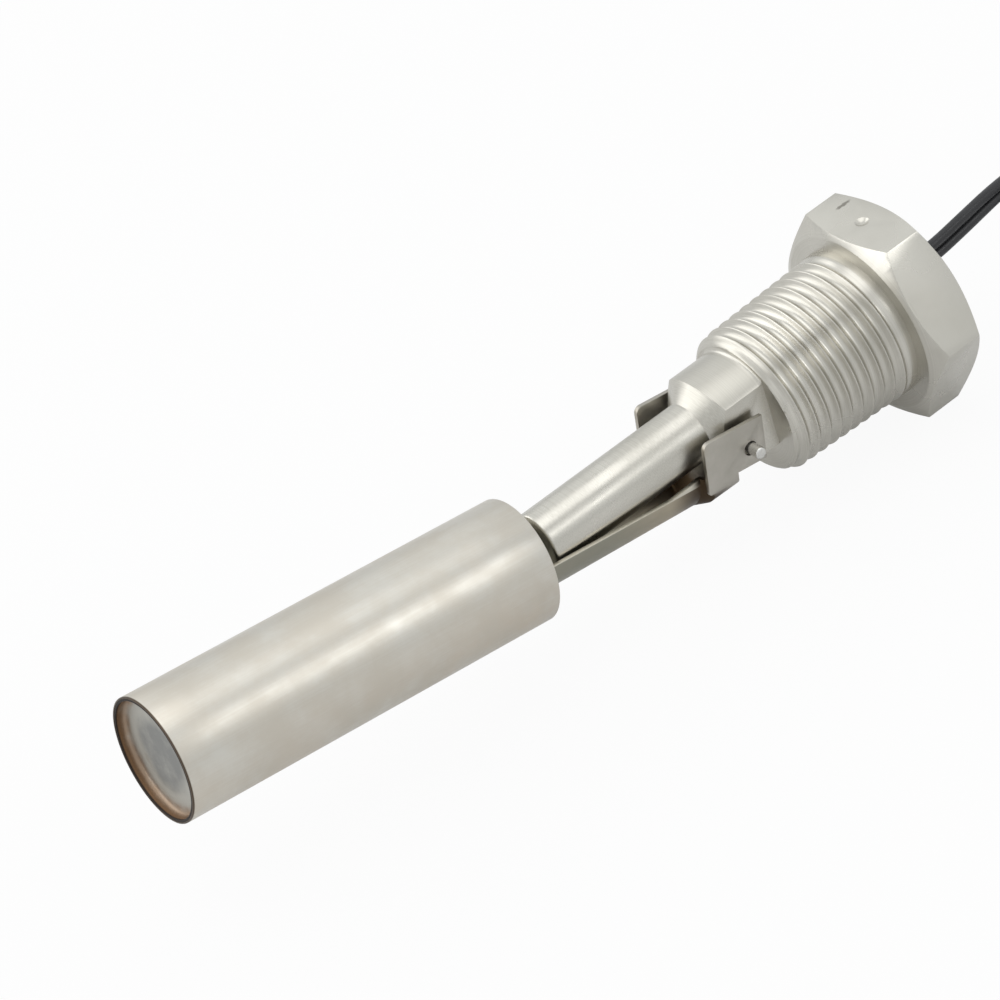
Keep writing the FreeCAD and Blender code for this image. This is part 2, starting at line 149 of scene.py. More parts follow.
def drawProfile(points):
    # an open line through points, extruded vertex by vertex
    bpy.ops.mesh.primitive_plane_add(size=mm, location=(0, 0, 0))
    obj = bpy.context.object
    editMode(True)
    bpy.ops.mesh.select_mode(type="VERT")
    bpy.ops.mesh.select_all(action="SELECT")
    bpy.ops.mesh.merge(type="CENTER")
    last = Vector(points[0])
    bpy.ops.transform.translate(value=last)
    for point in points[1:]:
        step = Vector(point) - last
        bpy.ops.mesh.extrude_vertices_move(TRANSFORM_OT_translate={"value": step})
        last = Vector(point)
    editMode(False)
    return obj


def turnProfile(points, steps):
    # points are (along X, radius) in millimetres; the line is spun once round X
    deselectAll()
    obj = drawProfile([(x * mm, 0, r * mm) for x, r in points])
    screw = obj.modifiers.new("turn", "SCREW")
    screw.axis = "X"
    screw.angle = math.tau
    screw.steps = screw.render_steps = steps
    screw.use_merge_vertices = True
    screw.merge_threshold = weldGap
    applyAll(obj)
    closeMesh()
    return obj


# the float arm is laid out along X from the pins and then turned up to its stop
arm = {"pinX": 25.0 * mm, "restAngle": 9.0, "floatStart": 32.404 * mm, "floatDrop": 3.2 * mm,
       "floatLength": 54.5 * mm}
armTurn = Matrix.Rotation(math.radians(arm["restAngle"]), 4, "Y")
armPlace = Matrix.Translation((arm["pinX"], 0, 0)) @ armTurn.inverted()
floatPlace = armPlace @ Matrix.Translation((arm["floatStart"], 0, -arm["floatDrop"]))
floatEnd = arm["floatStart"] + arm["floatLength"]


def raiseFloat(obj):
    obj.matrix_world = floatPlace
    return settle(obj)


# material parts
def newGroup(name, inputs, outputs):
    group = bpy.data.node_groups.new(name, "ShaderNodeTree")
    for label, kind, value in inputs:
        socket = group.interface.new_socket(label, in_out="INPUT", socket_type=kind)
        if value is not None:
            socket.default_value = value
    for label, kind in outputs:
        group.interface.new_socket(label, in_out="OUTPUT", socket_type=kind)
    return group, group.nodes.new("NodeGroupInput"), group.nodes.new("NodeGroupOutput")


class Wiring:
    def __init__(self, tree):
        self.tree = tree

    def node(self, kind, **settings):
        made = self.tree.nodes.new(kind)
        for key, value in settings.items():
            setattr(made, key, value)
        return made

    def link(self, source, target):
        self.tree.links.new(source, target)

    def put(self, socket, value):
        if hasattr(value, "links"):
            self.link(value, socket)
        else:
            socket.default_value = value

    def calc(self, operation, a, b=0.0, clamp=False):
        made = self.node("ShaderNodeMath", operation=operation, use_clamp=clamp)
        self.put(made.inputs[0], a)
        self.put(made.inputs[1], b)
        return made.outputs[0]

    def split(self, vector):
        made = self.node("ShaderNodeSeparateXYZ")
        self.link(vector, made.inputs[0])
        return made.outputs["X"], made.outputs["Y"], made.outputs["Z"]

    def length(self, a, b):
        squares = self.calc("ADD", self.calc("POWER", a, 2.0), self.calc("POWER", b, 2.0))
        return self.calc("SQRT", squares)

    def ramp(self, value, low, high, toLow=0.0, toHigh=1.0):
        made = self.node("ShaderNodeMapRange", interpolation_type="SMOOTHSTEP")
        self.put(made.inputs["Value"], value)
        self.put(made.inputs["From Min"], low)
        self.put(made.inputs["From Max"], high)
        self.put(made.inputs["To Min"], toLow)
        self.put(made.inputs["To Max"], toHigh)
        return made.outputs["Result"]

    def zone(self, place, span):
        # 0 at the span's first place and 1 at its second, in millimetres
        return self.ramp(place, span[0] * mm, span[1] * mm)

    def mix(self, factor, a, b):
        made = self.node("ShaderNodeMix", data_type="RGBA")
        self.put(made.inputs["Factor"], factor)
        for label, colour in (("A", a), ("B", b)):
            self.put(made.inputs[label], (*colour, 1) if isinstance(colour, tuple) else colour)
        return made.outputs["Result"]

    def noise(self, vector, scale, detail=3.0, roughness=0.5):
        made = self.node("ShaderNodeTexNoise")
        self.put(made.inputs["Vector"], vector)
        self.put(made.inputs["Scale"], scale)
        self.put(made.inputs["Detail"], detail)
        self.put(made.inputs["Roughness"], roughness)
        return made.outputs["Fac"]

    def stray(self, noise, width):
        # a noise as a shift to either side, over this width in millimetres
        return self.calc("MULTIPLY", self.calc("SUBTRACT", noise, 0.5), width * mm)

    def group(self, tree, **values):
        made = self.node("ShaderNodeGroup", node_tree=tree)
        for key, value in values.items():
            self.put(made.inputs[key], value)
        return made


def makeTurnLines():
    # fine rings left by a lathe tool round an axis along X: only x and radius count
    group, start, end = newGroup(
        "turnLines",
        [("Vector", "NodeSocketVector", None), ("Fineness", "NodeSocketFloat", 9000.0)],
        [("Lines", "NodeSocketFloat"), ("Drift", "NodeSocketFloat")],
    )
    w = Wiring(group)
    x, y, z = w.split(start.outputs["Vector"])
    flat = w.node("ShaderNodeCombineXYZ")
    w.link(x, flat.inputs["X"])
    w.link(w.length(y, z), flat.inputs["Y"])
    w.link(w.noise(flat.outputs[0], start.outputs["Fineness"], 2.0), end.inputs["Lines"])
    w.link(w.noise(start.outputs["Vector"], 90.0, 4.0), end.inputs["Drift"])
    return group


def makeDrawLines():
    # fine scratches along X, as brushing leaves them on a tube or sheet
    group, start, end = newGroup(
        "drawLines",
        [("Vector", "NodeSocketVector", None), ("Stretch", "NodeSocketFloat", 40.0)],
        [("Lines", "NodeSocketFloat"), ("Cloud", "NodeSocketFloat")],
    )
    w = Wiring(group)
    x, y, z = w.split(start.outputs["Vector"])
    squeezed = w.node("ShaderNodeCombineXYZ")
    w.link(w.calc("DIVIDE", x, start.outputs["Stretch"]), squeezed.inputs["X"])
    w.link(y, squeezed.inputs["Y"])
    w.link(z, squeezed.inputs["Z"])
    w.link(w.noise(squeezed.outputs[0], 5200.0), end.inputs["Lines"])
    w.link(w.noise(start.outputs["Vector"], 140.0, 5.0, 0.6), end.inputs["Cloud"])
    return group


turnLines = makeTurnLines()
drawLines = makeDrawLines()


def newMaterial(name, colour, roughness, metallic=1.0):
    material = bpy.data.materials.new(name)
    material.use_nodes = True
    w = Wiring(material.node_tree)
    shader = material.node_tree.nodes["Principled BSDF"]
    shader.inputs["Base Color"].default_value = (*colour, 1)
    shader.inputs["Roughness"].default_value = roughness
    shader.inputs["Metallic"].default_value = metallic
    return material, w, shader


def objectSpace(w):
    return w.node("ShaderNodeTexCoord").outputs["Object"]


def armSpace(w):
    # object space turned into the arm's own: X along the float from the pins
    made = w.node("ShaderNodeMapping", vector_type="POINT")
    w.link(objectSpace(w), made.inputs["Vector"])
    made.inputs["Location"].default_value = armTurn @ Vector((-arm["pinX"], 0, 0))
    made.inputs["Rotation"].default_value = (0, math.radians(arm["restAngle"]), 0)
    return made.outputs["Vector"]


def addBump(w, shader, height, strength):
    made = w.node("ShaderNodeBump")
    made.inputs["Strength"].default_value = strength
    made.inputs["Distance"].default_value = 0.02 * mm
    w.link(height, made.inputs["Height"])
    w.link(made.outputs["Normal"], shader.inputs["Normal"])


def makeTurnedSteel():
    look = {"light": (0.62, 0.60, 0.545), "dark": (0.50, 0.482, 0.43), "rough": 0.3,
            "bump": 0.06, "hexFront": (-0.9, -0.6), "hexBack": (-8.2, -8.35)}
    nick = {"colour": (0.17, 0.155, 0.13), "strength": 0.75, "middle": -4.9, "ragged": 0.9,
            "edge": (0.34, 0.1), "ends": ((-7.1, -6.4), (-4.2, -4.9)), "flat": (13.2, 13.4)}
    material, w, shader = newMaterial("turnedStainless", look["light"], look["rough"])
    place = objectSpace(w)
    lines = w.group(turnLines, Vector=place)
    drift = lines.outputs["Drift"]
    x, y, z = w.split(place)
    # the hexagon's flats keep the smooth skin of the bar
    turned = w.calc("ADD", w.zone(x, look["hexFront"]), w.zone(x, look["hexBack"]), clamp=True)
    rings = w.mix(turned, (0.5, 0.5, 0.5), lines.outputs["Lines"])
    tone = w.calc("MULTIPLY", rings, 0.45)
    tone = w.calc("ADD", tone, w.calc("MULTIPLY", drift, 0.4))
    colour = w.mix(w.ramp(tone, 0.3, 0.6), look["light"], look["dark"])
    # a nick in the skin of the upper flat
    off = w.calc("ABSOLUTE", w.calc("SUBTRACT", y, nick["middle"] * mm))
    off = w.calc("ADD", off, w.stray(w.noise(place, 1500.0), nick["ragged"]))
    mark = w.zone(off, nick["edge"])
    for end in nick["ends"]:
        mark = w.calc("MULTIPLY", mark, w.zone(x, end))
    mark = w.calc("MULTIPLY", mark, w.zone(z, nick["flat"]))
    colour = w.mix(w.calc("MULTIPLY", mark, nick["strength"]), colour, nick["colour"])
    w.link(colour, shader.inputs["Base Color"])
    w.link(w.ramp(drift, 0.3, 0.7, look["rough"] - 0.05, look["rough"] + 0.08),
           shader.inputs["Roughness"])
    addBump(w, shader, rings, look["bump"])
    return material


def makeSheetSteel():
    # ears as rolled, a brown throat that is part heat tint from the pressing and part painted
    # shade, a greener arm, and a lighter rim that is a painted highlight
    look = {"light": (0.49, 0.465, 0.42), "dark": (0.41, 0.39, 0.345), "rough": 0.37,
            "brown": (0.06, 0.04, 0.023), "gold": (0.43, 0.38, 0.295),
            "green": (0.30, 0.29, 0.24), "rim": (0.60, 0.57, 0.49), "bump": 0.05}
    # millimetres from the pins, along the arm, across it and up
    zones = {"wander": 4, "greening": (10, 24), "neck": (6.5, 9.5), "throatStart": (2.6, 5.2),
             "throatEnd": (12.5, 6.5), "insideEars": (6.3, 6.1), "underside": (-3.2, -4.6),
             "rimHeight": (-3.02, -2.94), "rimStart": (7, 9)}
    material, w, shader = newMaterial("sheetStainless", look["light"], look["rough"])
    place = armSpace(w)
    x, y, z = w.split(place)
    lines = w.group(drawLines, Vector=place, Stretch=12.0)
    cloud = lines.outputs["Cloud"]
    wander = w.calc("ADD", x, w.stray(cloud, zones["wander"]))
    colour = w.mix(w.ramp(cloud, 0.3, 0.7), look["light"], look["dark"])
    pressed = w.mix(w.zone(wander, zones["greening"]), look["gold"], look["green"])
    colour = w.mix(w.zone(wander, zones["neck"]), colour, pressed)
    # painted shade: over a real heat tint, the throat is darkened to brown inside the ears and
    # under them, where shade falls
    throat = w.calc("MULTIPLY", w.zone(wander, zones["throatStart"]),
                    w.zone(wander, zones["throatEnd"]))
    inside = w.zone(w.calc("ABSOLUTE", y), zones["insideEars"])
    shadedPlaces = w.calc("MAXIMUM", w.zone(z, zones["underside"]), inside)
    colour = w.mix(w.calc("MULTIPLY", throat, shadedPlaces), colour, look["brown"])
    # painted highlight: a lighter band along the trough's upper rim stands in for the light its
    # edge catches
    rim = w.calc("MULTIPLY", w.zone(z, zones["rimHeight"]), w.zone(x, zones["rimStart"]))
    w.link(w.mix(rim, colour, look["rim"]), shader.inputs["Base Color"])
    w.link(w.ramp(cloud, 0.3, 0.7, look["rough"] - 0.07, look["rough"] + 0.07),
           shader.inputs["Roughness"])
    addBump(w, shader, lines.outputs["Lines"], look["bump"])
    return material


def makeFloatSteel():
    look = {"light": (0.66, 0.64, 0.585), "dark": (0.60, 0.56, 0.49), "rough": 0.37,
            "warm": (0.62, 0.55, 0.46), "warmth": 0.9, "rim": (0.10, 0.075, 0.055),
            "underside": (1.5, -7), "rimSpan": (-0.28, -0.12), "bump": 0.06}
    material, w, shader = newMaterial("floatStainless", look["light"], look["rough"])
    place = armSpace(w)
    x, _, z = w.split(place)
    lines = w.group(drawLines, Vector=place)
    tone = w.calc("ADD", w.calc("MULTIPLY", lines.outputs["Lines"], 0.24),
                  w.calc("MULTIPLY", lines.outputs["Cloud"], 0.8))
    colour = w.mix(w.ramp(tone, 0.3, 0.65), look["light"], look["dark"])
    # the underside has a warmer tone, most of all near the hinge
    patches = w.ramp(w.noise(place, 75.0, 5.0, 0.62), 0.42, 0.68)
    near = w.ramp(x, 80 * mm, 34 * mm, 0.35, 1.0)
    warmed = w.calc("MULTIPLY", w.calc("MULTIPLY", w.zone(z, look["underside"]), near), patches)
    colour = w.mix(w.calc("MULTIPLY", warmed, look["warmth"]), colour, look["warm"])
    rim = w.zone(w.calc("SUBTRACT", x, floatEnd), look["rimSpan"])
    w.link(w.mix(rim, colour, look["rim"]), shader.inputs["Base Color"])
    w.link(w.ramp(tone, 0.3, 0.65, look["rough"] - 0.04, look["rough"] + 0.05),
           shader.inputs["Roughness"])
    addBump(w, shader, lines.outputs["Lines"], look["bump"])
    return material


def makeCapSteel():
    # pale ring, grey middle, and the weld's brown heat tint up the wall, deepened there with
    # painted shade, to a dark rim
    look = {"pale": (0.47, 0.46, 0.42), "middle": (0.27, 0.27, 0.26), "tan": (0.34, 0.25, 0.18),
            "brown": (0.25, 0.15, 0.085), "black": (0.035, 0.028, 0.024), "rough": 0.5,
            "polish": 0.14, "bump": 0.25}
    # radii on the cap's face, then places along its wall from the float's end
    zones = {"wobble": 2.4, "middle": (3.6, 5.9), "tan": (6.6, 7.7), "brown": (-1.2, -0.4),
             "black": (-0.35, -0.1)}
    material, w, shader = newMaterial("capStainless", look["pale"], look["rough"])
    place = armSpace(w)
    x, y, z = w.split(place)
    radius = w.length(y, w.calc("ADD", z, arm["floatDrop"]))
    uneven = w.stray(w.noise(place, 260.0, 4.0), zones["wobble"])
    wobbly = w.calc("ADD", radius, uneven)
    blotch = w.ramp(w.noise(place, 300.0, 6.0, 0.6), 0.42, 0.85, 0.0, 0.7)
    middle = w.mix(blotch, look["middle"], look["pale"])
    colour = w.mix(w.zone(wobbly, zones["middle"]), middle, look["pale"])
    colour = w.mix(w.zone(wobbly, zones["tan"]), colour, look["tan"])
    height = w.calc("SUBTRACT", x, floatEnd)
    unevenHeight = w.calc("ADD", height, w.calc("MULTIPLY", uneven, 0.5))
    # painted shade: the brown up the wall is heat tint, darkened to stand in for the shade inside
    # the recess
    colour = w.mix(w.zone(unevenHeight, zones["brown"]), colour, look["brown"])
    colour = w.mix(w.zone(height, zones["black"]), colour, look["black"])
    w.link(colour, shader.inputs["Base Color"])
    w.link(w.ramp(blotch, 0.0, 1.0, look["rough"], look["rough"] - look["polish"]),
           shader.inputs["Roughness"])
    addBump(w, shader, w.noise(place, 900.0, 4.0), look["bump"])
    return material


def makePlain(name, colour, roughness, metallic=0.0, grain=2500.0, depth=0.1):
    # one colour in slow clouds, with a fine grain
    material, w, shader = newMaterial(name, colour, roughness, metallic)
    place = objectSpace(w)
    speck = w.noise(place, grain)
    cloud = w.noise(place, grain / 12)
    darker = tuple(c * 0.8 for c in colour)
    w.link(w.mix(w.ramp(cloud, 0.3, 0.7), colour, darker), shader.inputs["Base Color"])
    w.link(w.ramp(speck, 0.3, 0.7, roughness - 0.05, roughness + 0.08), shader.inputs["Roughness"])
    addBump(w, shader, speck, depth)
    return material


def makeGlass():
    material, _, shader = newMaterial("reedGlass", (0.85, 0.93, 0.88), 0.03, 0.0)
    shader.inputs["Transmission Weight"].default_value = 1.0
    shader.inputs["IOR"].default_value = 1.5
    return material


turnedSteel = makeTurnedSteel()
capSteel = makeCapSteel()
sheetSteel = makeSheetSteel()
floatSteel = makeFloatSteel()
leadCover = makePlain("leadCover", (0.018, 0.018, 0.02), 0.38, grain=1800.0, depth=0.08)
tinned = makePlain("tinnedStrand", (0.72, 0.72, 0.72), 0.3, 1.0)
print("materials made")


# leads: routes, radii and heights in millimetres, angles in degrees
leads = {
    "diameter": 1.5 * mm,
    "length": 0.54,
    "upper": [(-7.9, 0.0, 3.07), (-13.9, -0.4, 2.8), (-20.2, -1.1, 3.1), (-26.7, -2.0, 3.2),
              (-33.1, -3.5, 2.1), (-38.8, -6.3, -0.9), (-43.7, -9.2, -4.2), (-48.8, -10.7, -6.2),
              (-54.2, -12.1, -7.4)],
    "lower": [(-7.9, 0.0, 1.33), (-13.9, -0.4, 1.1), (-20.2, -1.1, 1.3), (-26.5, -2.0, 1.5),
              (-32.5, -3.9, 0.5), (-37.6, -7.1, -2.0), (-42.7, -10.6, -5.0), (-48.2, -12.5, -6.4),
              (-53.8, -13.9, -7.4)],
}
coil = {
    "centre": (-54.0, -2.0),
    "start": -90,
    "rowHeights": (-7.55, -9.1, -10.65, -12.2),
    "rowStep": (290, 360),  # where in each turn a lead goes on to the next row
    "columnStep": (10, 250),  # where after the last turn down it moves outwards
    "endRise": 1.25,
    "riseSpan": (-45, -9),  # before its end
    "pointsPerTurn": 20,
    "upper": {"inner": 10.2, "outer": 13.275, "lastTurn": 273},
    "lower": {"inner": 11.75, "outer": 14.825, "lastTurn": 21},
}
tips = {"strands": 7, "radius": 0.15 * mm, "sides": 12, "length": 6.0 * mm, "twist": 250,
        "steps": 20}


def coilPoints(which):
    # three turns down the inner column, a step out at the bottom, three turns back up
    rows = coil["rowHeights"]
    bottom = len(rows) - 1
    column = coil[which]
    endAngle = 2 * bottom * 360 + column["lastTurn"]
    step = 360 / coil["pointsPerTurn"]
    angles = [step * (i + 1) for i in range(int(endAngle / step))] + [endAngle]

    def rowOf(turn):
        return rows[int(max(0, bottom - abs(bottom - turn)))]

    points = []
    for angle in angles:
        turn, within = divmod(angle, 360)
        down = (rowOf(turn + 1) - rowOf(turn)) * easeStep(within, *coil["rowStep"])
        out = easeStep(angle - bottom * 360, *coil["columnStep"])
        rise = coil["endRise"] * easeStep(angle - endAngle, *coil["riseSpan"])
        radius = column["inner"] + (column["outer"] - column["inner"]) * out
        turned = math.radians(coil["start"] - angle)
        points.append((coil["centre"][0] + radius * math.cos(turned),
                       coil["centre"][1] + radius * math.sin(turned),
                       rowOf(turn) + down + rise))
    return points


def makeTip(which):
    # a stripped lead end: six strands laid round one
    deselectAll()
    rings = []
    for k in range(tips["strands"]):
        out = 2 * tips["radius"] if k else 0.0
        angle = math.radians(60 * k)
        bpy.ops.mesh.primitive_circle_add(
            vertices=tips["sides"], radius=tips["radius"] * 0.99,
            location=(out * math.cos(angle), out * math.sin(angle), 0))
        rings.append(bpy.context.object)
    deselectAll()
    for ring in rings:
        ring.select_set(True)
    bpy.context.view_layer.objects.active = rings[0]
    bpy.ops.object.join()
    obj = settle(rings[0])
    twist = obj.modifiers.new("twist", "SCREW")
    twist.axis = "Z"
    twist.angle = math.radians(tips["twist"])
    twist.screw_offset = tips["length"]
    twist.steps = twist.render_steps = tips["steps"]
    applyAll(obj)
    editWhole()
    bpy.ops.mesh.edge_face_add()
    bpy.ops.mesh.select_all(action="SELECT")
    bpy.ops.mesh.normals_make_consistent(inside=False)
    editMode(False)
    # it goes on from the lead's end, along the coil
    x, y = coil["centre"]
    middle = Matrix.Translation((x * mm, y * mm, 0))
    around = Matrix.Rotation(math.radians(coil["start"] - coil[which]["lastTurn"]), 4, "Z")
    height = coil["rowHeights"][0] + coil["endRise"]
    outwards = Matrix.Translation((coil[which]["outer"] * mm, 0, height * mm))
    lying = Matrix.Rotation(math.radians(90), 4, "X")
    obj.matrix_world = middle @ around @ outwards @ lying
    settle(obj)
    smoothByAngle(obj, 40)
    return dress(obj, f"tip_{which}", tinned, "plug", "tinned_wire", f"lead_tip_{which}")


def makeLead(which):
    points = leads[which] + coilPoints(which)
    curve = bpy.data.curves.new(f"lead_{which}", "CURVE")
    curve.dimensions = "3D"
    spline = curve.splines.new("NURBS")
    spline.points.add(len(points) - 1)
    for point, (x, y, z) in zip(spline.points, points):
        point.co = (x * mm, y * mm, z * mm, 1)
    spline.order_u = 3
    spline.use_endpoint_u = True
    curve.resolution_u = 6
    curve.bevel_depth = leads["diameter"] / 2
    curve.bevel_resolution = 5
    curve.use_fill_caps = True
    obj = bpy.data.objects.new(f"lead_{which}", curve)
    scene.collection.objects.link(obj)
    obj.data.materials.append(leadCover)
    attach(obj, "plug")
    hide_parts(f"lead_wire_{which}", "lead_coil")
    makeTip(which)


makeLead("upper")
makeLead("lower")
print("leads laid")


# plug and its thread, in millimetres unless mm is named
thread = {
    "crestAtHex": 10.85, "taper": 1 / 32, "length": 20.0, "pitch": 25.4 / 14, "depth": 0.85,
    "leadIn": 1.6, "leadInDrop": 1.15, "fade": (0.9, 3.4), "phase": -0.6, "turns": 13,
    "steps": 112, "drawnRadius": 10, "weldGap": 0.003 * mm, "endStep": -0.04, "endShare": 0.955,
    # place along one pitch and share of the depth there: a narrow crest, a round root
    "form": [(0.0, 0.14), (0.03, 0.03), (0.06, 0.0), (0.09, 0.03), (0.12, 0.14), (0.2, 0.43),
             (0.3, 0.71), (0.42, 0.92), (0.56, 1.0), (0.70, 0.92), (0.82, 0.71), (0.92, 0.43)],
}
plugEdges = {"sharpness": 22, "bevel": 0.34 * mm, "segments": 3, "plainShare": 0.35,
             "boss": (20.7, 29.5), "threadRoot": 8.6, "margin": 0.01}


def threadRadius(x, share):
    # radius at x for a share of the full thread depth
    crest = thread["crestAtHex"] - x * thread["taper"]
    radius = crest - share * thread["depth"] * easeStep(x, *thread["fade"])
    start = thread["length"] - thread["leadIn"]
    if x > start:
        nose = thread["crestAtHex"] - start * thread["taper"]
        nose -= thread["leadInDrop"] * ((x - start) / thread["leadIn"]) ** 2
        radius = min(radius, nose)
    return radius


def makeThread():
    # one pitch of the form is wound on at one radius, then laid on its taper
    pitch, drawn = thread["pitch"], thread["drawnRadius"]
    first = (thread["phase"] - 1) * pitch
    form = thread["form"] + [(1.0, thread["form"][0][1])]
    deselectAll()
    obj = drawProfile([((first + f * pitch) * mm, 0, (drawn - share) * mm) for f, share in form])
    screw = obj.modifiers.new("wind", "SCREW")
    screw.axis = "X"
    screw.angle = math.tau
    screw.steps = screw.render_steps = thread["steps"]
    screw.iterations = thread["turns"]
    screw.screw_offset = pitch * mm
    screw.use_merge_vertices = False
    applyAll(obj)
    closeMesh(thread["weldGap"])
    for vertex in obj.data.vertices:
        x, y, z = vertex.co / mm
        radius = math.hypot(y, z)
        grow = threadRadius(x, drawn - radius) / radius
        vertex.co = Vector((x, y * grow, z * grow)) * mm
    # both ends are cut square and drawn inwards a little
    editMode(True)
    for end, isFar in ((0.0, False), (thread["length"] * mm, True)):
        bpy.ops.mesh.select_all(action="SELECT")
        bpy.ops.mesh.bisect(plane_co=(end, 0, 0), plane_no=(1, 0, 0), clear_inner=not isFar,
                            clear_outer=isFar, threshold=0.0001 * mm)
        bpy.ops.mesh.extrude_region_move(
            TRANSFORM_OT_translate={"value": (thread["endStep"] * mm, 0, 0)})
        bpy.ops.transform.resize(value=(1, thread["endShare"], thread["endShare"]),
                                 center_override=(end, 0, 0))
    bpy.ops.mesh.select_all(action="DESELECT")
    editMode(False)
    faceOutwards(obj)
    return obj


def faceOutwards(obj):
    # an open wall has no inside to go by, so it is judged from the X axis
    outwards = 0.0
    for face in obj.data.polygons:
        _, y, z = face.center
        outwards += face.area * face.normal.dot(Vector((0, y, z)))
    if outwards < 0:
        editWhole()
        bpy.ops.mesh.flip_normals()
        editMode(False)


def softenEdges(plug):
    # the boss was tumbled, so its edges are rounder than the hexagon's
    bossStart, bossEnd = plugEdges["boss"]
    editMode(True)
    bpy.ops.mesh.select_mode(type="EDGE")
    bpy.ops.mesh.select_all(action="DESELECT")
    bpy.ops.mesh.edges_select_sharp(sharpness=math.radians(plugEdges["sharpness"]))
    editMode(False)
    weights = plug.data.attributes.new("bevel_weight_edge", "FLOAT", "EDGE")
    points = plug.data.vertices
    for edge in plug.data.edges:
        middle = (points[edge.vertices[0]].co + points[edge.vertices[1]].co) / (2 * mm)
        share = 1.0 if bossStart < middle.x < bossEnd else plugEdges["plainShare"]
        weights.data[edge.index].value = share * edge.select
    bevel = plug.modifiers.new("softEdges", "BEVEL")
    bevel.width = plugEdges["bevel"]
    bevel.segments = plugEdges["segments"]
    bevel.limit_method = "WEIGHT"
    applyAll(plug)
    smoothByAngle(plug, 35)


def makePlug():
    # the node's own rings are cut away, and the true helix takes their place
    plug = copyOfNode("plug_body")
    for face in plug.data.polygons:
        x, y, z = face.center / mm
        onThread = plugEdges["margin"] < x < thread["length"] - plugEdges["margin"]
        face.select = onThread and math.hypot(y, z) > plugEdges["threadRoot"]
    editMode(True)
    bpy.ops.mesh.select_mode(type="FACE")
    bpy.ops.mesh.delete(type="FACE")
    bpy.ops.mesh.select_all(action="SELECT")
    bpy.ops.mesh.dissolve_limited(angle_limit=math.radians(flatness))
    editMode(False)
    softenEdges(plug)
    dress(plug, "plugShell", turnedSteel, "plug", "turned_stainless", "plug_body")
    helix = makeThread()
    smoothByAngle(helix, 40)
    dress(helix, "pipeThread", turnedSteel, "plug", "turned_stainless")


makePlug()
print("plug and thread made")


# float, in millimetres from its hinge end
floatTube = {"radius": 8.35, "wall": 0.25, "roundIn": 0.12, "roundOut": 0.1, "lip": 0.03,
             "rings": 6, "steps": 160}
farCap = {
    "radius": 8.1, "recess": 1.4, "wallInside": 7.78, "skirt": 0.3, "steps": 128,
    # height and radius: the disc and the pressed ring round it
    "ring": [(0.02, 0), (0.02, 4.4), (0, 4.95), (-0.03, 5.3), (0, 5.65)],
    # height over the face and distance in from the wall
    "corner": [(0, 0.75), (0.05, 0.42), (0.18, 0.16), (0.42, 0.03), (0.7, 0)],
    # distance from the float's end and out from the wall
    "roll": [(0.16, 0), (0.04, 0.05), (0.01, 0.15)],
    # distance from the float's end and in from the cap's radius
    "outerEdge": [(0.05, 0.04), (0.2, 0.01)],
}


def quarterRound(x, r, size, side):
    # three points from the end face over the edge to the tube; side is 1 or -1 along X
    cut = size * (1 - math.sqrt(0.5))
    return [(x, r - size), (x + side * cut, r - cut), (x + side * size, r)]


def makeFloatTube():
    r, end = floatTube["radius"], arm["floatLength"] / mm
    inner, lip = r - floatTube["wall"], floatTube["lip"]
    line = [(0, inner)] + quarterRound(0, r, floatTube["roundIn"], 1)
    line += [(end * 0.15 * (k + 1), r) for k in range(floatTube["rings"])]
    line += reversed(quarterRound(end, r, floatTube["roundOut"], -1))
    line += [(end, inner + lip), (end - lip, inner), (0, inner)]
    tube = raiseFloat(turnProfile(line, floatTube["steps"]))
    smoothByAngle(tube, 40)
    dress(tube, "floatShell", floatSteel, "float_arm", "float_stainless", "float_tube")


def makeFarCap():
    end, wall, radius = arm["floatLength"] / mm, farCap["wallInside"], farCap["radius"]
    face = end - farCap["recess"]
    back = face - farCap["skirt"]
    line = [(face + up, r) for up, r in farCap["ring"]]
    line += [(face + up, wall - inwards) for up, inwards in farCap["corner"]]
    line += [(end - short, wall + out) for short, out in farCap["roll"]]
    line += [(end - short, radius - inwards) for short, inwards in farCap["outerEdge"]]
    line += [(back, radius - farCap["outerEdge"][-1][1]), (back, 0)]
    cap = raiseFloat(turnProfile(line, farCap["steps"]))
    smoothByAngle(cap, 50)
    dress(cap, "farCap", capSteel, "float_arm", "cap_stainless", "float_outer_cap")


makeFloatTube()
makeFarCap()
print("float made")


# bracket
bracketEdges = {"bevel": 0.09 * mm, "segments": 2, "sharpness": 30}


def makeBracket():
    bracket = copyOfNode("hinge_bracket")
    editWhole()
    bpy.ops.mesh.dissolve_limited(angle_limit=math.radians(flatness))
    editMode(False)
    bevel = bracket.modifiers.new("brokenEdges", "BEVEL")
    bevel.width = bracketEdges["bevel"]
    bevel.segments = bracketEdges["segments"]
    bevel.limit_method = "ANGLE"
    bevel.angle_limit = math.radians(bracketEdges["sharpness"])
    applyAll(bracket)
    smoothByAngle(bracket, 35)
    dress(bracket, "bracketSheet", sheetSteel, "float_arm", "sheet_stainless", "hinge_bracket")


makeBracket()
print("bracket made")


